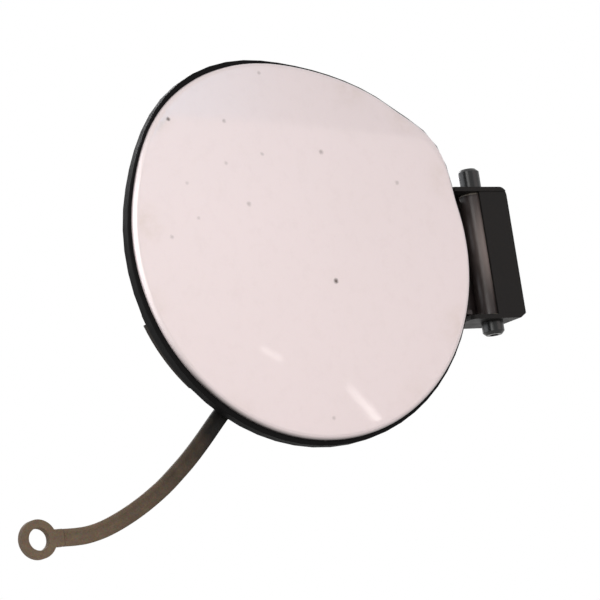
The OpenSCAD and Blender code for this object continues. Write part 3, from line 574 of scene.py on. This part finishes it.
for x, z, radius, tone in stone_chips:
    away = add_node(tree, "ShaderNodeVectorMath", {"operation": "DISTANCE"}, {
        0: flat_place.outputs["Vector"], 1: (x * mm, 0, z * mm)})
    away_ragged = add_node(tree, "ShaderNodeMath", {"operation": "ADD"}, {
        0: away.outputs["Value"], 1: ragged_by.outputs["Value"]})
    chips.append(add_node(tree, "ShaderNodeMapRange", {}, {
        "Value": away_ragged.outputs["Value"], "From Min": (radius + 0.75) * mm,
        "From Max": (radius * 0.4 + 0.4) * mm, "To Min": 0, "To Max": tone}))
chipped = strongest(chips)
chip_colour = add_node(tree, "ShaderNodeMix", {"data_type": "RGBA"}, {
    "Factor": chipped, 6: edge_shaded.outputs[2], 7: linear("#5b4f4a")})
chip_gloss = add_node(tree, "ShaderNodeMapRange", {}, {
    "Value": chipped, "From Min": 0, "From Max": 0.5, "To Min": 1, "To Max": 0})
# Orange peel, the faint waviness of sprayed lacquer, about 4 mm from crest to crest
peel = add_node(tree, "ShaderNodeTexNoise", {}, {
    "Vector": place, "Scale": 1 / (4 * mm), "Detail": 1})
peel_bump = add_node(tree, "ShaderNodeBump", {}, {
    "Height": peel.outputs["Fac"], "Distance": 0.01 * mm, "Strength": 0.35})
paint_shader = add_node(tree, "ShaderNodeBsdfPrincipled", {}, {
    "Base Color": chip_colour.outputs[2], "Metallic": 0.15, "Roughness": 0.42, "IOR": 1.5,
    "Coat Weight": chip_gloss.outputs["Result"], "Coat Roughness": 0.035, "Coat IOR": 1.5,
    "Coat Normal": peel_bump.outputs["Normal"]})
finish_material(tree, paint_shader)
painted_skin.data.materials.append(body_paint)

# The carrier: one injection moulding of polypropylene behind the skin, with the proud rim,
# ribs, bosses and the two-part skirt. It keeps its CAD shape, its edges eased.
sharp_angle = math.radians(32)
smooth_group = bpy.data.node_groups.new("smooth_by_angle", "GeometryNodeTree")
smooth_group.interface.new_socket("Geometry", in_out="INPUT", socket_type="NodeSocketGeometry")
smooth_group.interface.new_socket("Geometry", in_out="OUTPUT", socket_type="NodeSocketGeometry")
group_in = add_node(smooth_group, "NodeGroupInput", {}, {})
edge_angle = add_node(smooth_group, "GeometryNodeInputMeshEdgeAngle", {}, {})
shallow = add_node(smooth_group, "FunctionNodeCompare", {"operation": "LESS_THAN"}, {
    0: edge_angle.outputs["Unsigned Angle"], 1: sharp_angle})
smooth_faces = add_node(smooth_group, "GeometryNodeSetShadeSmooth", {"domain": "FACE"}, {
    "Geometry": group_in.outputs["Geometry"], "Shade Smooth": True})
smooth_edges = add_node(smooth_group, "GeometryNodeSetShadeSmooth", {"domain": "EDGE"}, {
    "Geometry": smooth_faces.outputs["Geometry"], "Shade Smooth": shallow.outputs["Result"]})
add_node(smooth_group, "NodeGroupOutput", {}, {"Geometry": smooth_edges.outputs["Geometry"]})


def ease_edges(name, width):
    """Rounds a node's sharp edges by a width and shades its round faces smooth."""
    piece = nodes[name]
    weld = piece.modifiers.new("weld", "WELD")
    weld.merge_threshold = 0.001 * mm
    bevel = piece.modifiers.new("eased_edges", "BEVEL")
    bevel.width = width
    bevel.segments = 2
    bevel.limit_method = "ANGLE"
    bevel.angle_limit = sharp_angle
    shading = piece.modifiers.new("smooth_by_angle", "NODES")
    shading.node_group = smooth_group
    weighted = piece.modifiers.new("weighted_normals", "WEIGHTED_NORMAL")
    weighted.mode = "FACE_AREA_WITH_ANGLE"
    weighted.keep_sharp = True


def finish_node(name, material):
    """Gives a node of the frame its finish."""
    for slot in nodes[name].material_slots:
        slot.material = material


def moulded_plastic(name, clean, worn, dust, grain, roughness, specular, dustiness):
    """A dull moulding: cloudy tone, a fine grain, and dust that lies where it can settle.

    A mould's grain is about 0.2 mm across; it is drawn 0.5 mm or more so that it shows.
    """
    material, tree, place = new_material(name)
    clouds = add_node(tree, "ShaderNodeTexNoise", {}, {
        "Vector": place, "Scale": 1 / (18 * mm), "Detail": 5, "Roughness": 0.6})
    tone = add_node(tree, "ShaderNodeMix", {"data_type": "RGBA"}, {
        "Factor": clouds.outputs["Fac"], 6: linear(clean), 7: linear(worn)})
    fine = add_node(tree, "ShaderNodeTexNoise", {}, {
        "Vector": place, "Scale": 1 / grain, "Detail": 3, "Roughness": 0.6})
    normal = add_node(tree, "ShaderNodeNewGeometry", {}, {}).outputs["Normal"]
    up = add_node(tree, "ShaderNodeSeparateXYZ", {}, {"Vector": normal}).outputs["Z"]
    settles = add_node(tree, "ShaderNodeMapRange", {}, {
        "Value": up, "From Min": -0.4, "From Max": 0.9, "To Min": 0.25, "To Max": 1})
    drift = add_node(tree, "ShaderNodeTexNoise", {}, {
        "Vector": place, "Scale": 1 / (6 * mm), "Detail": 6, "Roughness": 0.7})
    drifted = add_node(tree, "ShaderNodeMapRange", {}, {
        "Value": drift.outputs["Fac"], "From Min": 0.4, "From Max": 0.75,
        "To Min": 0, "To Max": dustiness})
    dust_share = add_node(tree, "ShaderNodeMath", {"operation": "MULTIPLY"}, {
        0: settles.outputs["Result"], 1: drifted.outputs["Result"]})
    dusty = add_node(tree, "ShaderNodeMix", {"data_type": "RGBA"}, {
        "Factor": dust_share.outputs["Value"], 6: tone.outputs[2], 7: linear(dust)})
    dull = add_node(tree, "ShaderNodeMapRange", {}, {
        "Value": drift.outputs["Fac"], "From Min": 0.3, "From Max": 0.7,
        "To Min": roughness - 0.06, "To Max": roughness + 0.1})
    grain_bump = add_node(tree, "ShaderNodeBump", {}, {
        "Height": fine.outputs["Fac"], "Distance": 0.05 * mm, "Strength": 0.5})
    finish_material(tree, add_node(tree, "ShaderNodeBsdfPrincipled", {}, {
        "Base Color": dusty.outputs[2], "Roughness": dull.outputs["Result"], "IOR": 1.49,
        "Specular IOR Level": specular, "Normal": grain_bump.outputs["Normal"]}))
    return material


def place_on(material):
    """The object coordinates that a material's patterns ride on."""
    return material.node_tree.nodes["Texture Coordinate"].outputs["Object"]


def lay_colour_over(material, share, colour):
    """Lays a colour over a material's own, as far as a share from 0 to 1 says, for wear as well as
    painted light.
    """
    tree = material.node_tree
    own_colour = tree.nodes["Principled BSDF"].inputs["Base Color"]
    laid_colour = add_node(tree, "ShaderNodeMix", {"data_type": "RGBA"}, {
        "Factor": share, 6: own_colour.links[0].from_socket, 7: linear(colour)})
    tree.links.new(laid_colour.outputs[2], own_colour)


# Polypropylene, grained and gone matt outdoors: nearly black, a little brown with dust
carrier_plastic = moulded_plastic(
    "moulded_polypropylene", "#2a2724", "#383430", "#5a5148", 0.5 * mm, 0.6, 0.08, 0.35)
# The rim's front is darkened nearly black, so the dust stays on what lies deeper or inside it
darkened_to_y = -23 * mm
dusty_from_y = -20.5 * mm
rim_middle = (flap_x, -25 * mm, flap_z)
rim_inner_r = 79 * mm
pan_r = 76 * mm
tree = carrier_plastic.node_tree
depth = add_node(tree, "ShaderNodeSeparateXYZ", {}, {"Vector": place_on(carrier_plastic)})
in_front = add_node(tree, "ShaderNodeMapRange", {}, {
    "Value": depth.outputs["Y"], "From Min": darkened_to_y, "From Max": dusty_from_y,
    "To Min": 1, "To Max": 0})
from_middle = add_node(tree, "ShaderNodeVectorMath", {"operation": "DISTANCE"}, {
    0: place_on(carrier_plastic), 1: rim_middle})
on_rim = add_node(tree, "ShaderNodeMapRange", {}, {
    "Value": from_middle.outputs["Value"], "From Min": rim_inner_r, "From Max": pan_r,
    "To Min": 1, "To Max": 0})
darkened_rim_share = add_node(tree, "ShaderNodeMath", {"operation": "MINIMUM"}, {
    0: in_front.outputs["Result"], 1: on_rim.outputs["Result"]})
lay_colour_over(carrier_plastic, darkened_rim_share.outputs["Value"], "#0c0b0b")
ease_edges("door_carrier", 0.25 * mm)
finish_node("door_carrier", carrier_plastic)

# Push nuts: toothed washers, stamped from spring steel and pressed on the skin's studs.
# Their phosphate coat is dark grey and dull, and their edges are sharp.


def worked_metal(name, light, dark, roughness, metallic, spread):
    """Bare or plated metal with a cloudy tone and the fine marks of its making.

    Real marks are under 0.1 mm apart; they are drawn 0.4 mm apart so that they show.
    """
    material, tree, place = new_material(name)
    clouds = add_node(tree, "ShaderNodeTexNoise", {}, {
        "Vector": place, "Scale": 1 / spread, "Detail": 5, "Roughness": 0.65})
    tone = add_node(tree, "ShaderNodeMix", {"data_type": "RGBA"}, {
        "Factor": clouds.outputs["Fac"], 6: linear(light), 7: linear(dark)})
    marks = add_node(tree, "ShaderNodeTexNoise", {}, {
        "Vector": place, "Scale": 1 / (0.4 * mm), "Detail": 2})
    worn = add_node(tree, "ShaderNodeMapRange", {}, {
        "Value": clouds.outputs["Fac"], "From Min": 0.3, "From Max": 0.7,
        "To Min": roughness - 0.08, "To Max": roughness + 0.12})
    marks_bump = add_node(tree, "ShaderNodeBump", {}, {
        "Height": marks.outputs["Fac"], "Distance": 0.02 * mm, "Strength": 0.4})
    finish_material(tree, add_node(tree, "ShaderNodeBsdfPrincipled", {}, {
        "Base Color": tone.outputs[2], "Metallic": metallic, "Roughness": worn.outputs["Result"],
        "Normal": marks_bump.outputs["Normal"]}))
    return material


phosphated_steel = worked_metal("phosphated_steel", "#5c5a58", "#454341", 0.45, 0.9, 3 * mm)
ease_edges("skin_push_nuts", 0.08 * mm)
finish_node("skin_push_nuts", phosphated_steel)

# The hinge: gooseneck arm and snap-in base of glass-filled nylon, moulded satin black, the
# arm held on the carrier by four zinc-plated pan-head screws.
base_plastic = moulded_plastic(
    "glass_filled_nylon", "#141312", "#1b1918", "#4d453f", 0.7 * mm, 0.45, 0.12, 0.2)
# The arm's nylon is drawn lighter and browner than the base's: weathering, and a painted sheen for
# its satin barrel
arm_plastic = moulded_plastic(
    "weathered_nylon_with_painted_sheen", "#332b29", "#403735", "#5c524d", 0.7 * mm, 0.36, 0.36, 0.3)
# The pegs sit in the car body's sockets, which have rubbed them smooth: they shine softly
peg_foot_z = 30.6 * mm
peg_clear_z = 31.5 * mm
tree = base_plastic.node_tree
base_shader = tree.nodes["Principled BSDF"]
peg_height = add_node(tree, "ShaderNodeSeparateXYZ", {}, {"Vector": place_on(base_plastic)})
off_middle = add_node(tree, "ShaderNodeMath", {"operation": "ABSOLUTE"}, {
    0: peg_height.outputs["Z"]})
on_peg = add_node(tree, "ShaderNodeMapRange", {}, {
    "Value": off_middle.outputs["Value"], "From Min": peg_foot_z, "From Max": peg_clear_z,
    "To Min": 0, "To Max": 1})
lay_colour_over(base_plastic, on_peg.outputs["Result"], "#141413")
peg_gloss = add_node(tree, "ShaderNodeMath", {"operation": "MULTIPLY"}, {
    0: on_peg.outputs["Result"], 1: 0.55})
tree.links.new(peg_gloss.outputs["Value"], base_shader.inputs["Coat Weight"])
base_shader.inputs["Coat Roughness"].default_value = 0.22
# A painted highlight on the arm's barrel beside the block's front wall, brightest a little
# above its middle: a long patch, so its width is measured three times as fast as its height
highlight_narrowing = 3
highlight_middle = (3 * highlight_narrowing * mm, -19 * mm, 3 * mm)
highlight_reach = 31 * mm
highlight_core = 4 * mm
tree = arm_plastic.node_tree
highlight_narrowed = add_node(tree, "ShaderNodeVectorMath", {"operation": "MULTIPLY"}, {
    0: place_on(arm_plastic), 1: (highlight_narrowing, 1, 1)})
off_highlight = add_node(tree, "ShaderNodeVectorMath", {"operation": "DISTANCE"}, {
    0: highlight_narrowed.outputs["Vector"], 1: highlight_middle})
highlight_share = add_node(tree, "ShaderNodeMapRange", {"interpolation_type": "SMOOTHSTEP"}, {
    "Value": off_highlight.outputs["Value"], "From Min": highlight_reach, "From Max": highlight_core,
    "To Min": 0, "To Max": 0.9})
lay_colour_over(arm_plastic, highlight_share.outputs["Result"], "#b5a59e")
for name, plastic in (("hinge_arm", arm_plastic), ("hinge_base", base_plastic)):
    ease_edges(name, 0.3 * mm)
    finish_node(name, plastic)
# Bright zinc gives the screws' pan heads a pale, slightly warm shine
zinc_plate = worked_metal("zinc_plated_steel", "#b9bab6", "#95948c", 0.34, 1, 2 * mm)
for name in ("arm_screws", "striker_screws"):
    ease_edges(name, 0.15 * mm)
    finish_node(name, zinc_plate)

# Bushes in the ends of the arm's barrel, turned from natural acetal and pressed in. They
# look waxy, and old grease has stained them grey-brown.
acetal, tree, place = new_material("natural_acetal")
milk = add_node(tree, "ShaderNodeTexNoise", {}, {
    "Vector": place, "Scale": 1 / (3 * mm), "Detail": 3})
milk_tone = add_node(tree, "ShaderNodeMix", {"data_type": "RGBA"}, {
    "Factor": milk.outputs["Fac"], 6: linear("#8f887c"), 7: linear("#726b60")})
milk_bump = add_node(tree, "ShaderNodeBump", {}, {
    "Height": milk.outputs["Fac"], "Distance": 0.02 * mm, "Strength": 0.3})
finish_material(tree, add_node(tree, "ShaderNodeBsdfPrincipled", {}, {
    "Base Color": milk_tone.outputs[2], "Roughness": 0.38, "IOR": 1.48,
    "Normal": milk_bump.outputs["Normal"]}))
for name in ("upper_bush", "lower_bush"):
    ease_edges(name, 0.15 * mm)
    finish_node(name, acetal)

# The hinge pin, centreless-ground from steel bar and driven through base and bushes. It is
# bright, with a little dullness from handling.
ground_steel = worked_metal("ground_steel", "#c3c4c6", "#a3a4a6", 0.26, 1, 4 * mm)
ease_edges("hinge_pin", 0.1 * mm)
finish_node("hinge_pin", ground_steel)

# The over-centre spring: a bowed leaf of hardened strip between the base's walls, blued by
# its heat treatment, so that its shine is cool and dark.
blued_steel = worked_metal("blued_spring_steel", "#5b616b", "#474543", 0.32, 1, 5 * mm)
ease_edges("over_centre_spring", 0.08 * mm)
finish_node("over_centre_spring", blued_steel)

# The opening stop and the four rest buffers, moulded in EPDM rubber and bonded or pushed in
# place: matt black, with the grey bloom that old rubber gets.
epdm, tree, place = new_material("moulded_epdm")
bloom = add_node(tree, "ShaderNodeTexNoise", {}, {
    "Vector": place, "Scale": 1 / (3 * mm), "Detail": 6, "Roughness": 0.7})
rubber_tone = add_node(tree, "ShaderNodeMix", {"data_type": "RGBA"}, {
    "Factor": bloom.outputs["Fac"], 6: linear("#141414"), 7: linear("#302d2b")})
rubber_bump = add_node(tree, "ShaderNodeBump", {}, {
    "Height": bloom.outputs["Fac"], "Distance": 0.08 * mm, "Strength": 0.5})
finish_material(tree, add_node(tree, "ShaderNodeBsdfPrincipled", {}, {
    "Base Color": rubber_tone.outputs[2], "Roughness": 0.8, "IOR": 1.5,
    "Specular IOR Level": 0.3, "Normal": rubber_bump.outputs["Normal"]}))
for name in (
        "open_stop_pad", "buffer_top", "buffer_free_upper", "buffer_free_lower",
        "buffer_bottom"):
    ease_edges(name, 0.15 * mm)
    finish_node(name, epdm)

# The latch striker, the fuel cap's cradle and the strap's anchor: black acetal copolymer,
# moulded, a little glossier than the carrier that they are screwed and pressed into.
black_acetal = moulded_plastic(
    "black_acetal", "#151414", "#1d1b1a", "#544b43", 0.6 * mm, 0.4, 0.35, 0.2)
for name in ("latch_striker", "cap_cradle", "tether_anchor"):
    ease_edges(name, 0.3 * mm)
    finish_node(name, black_acetal)
# The strap's eyelet has its finish already, and is moulded with rounder edges
ease_edges("tether_eyelet", 0.5 * mm)
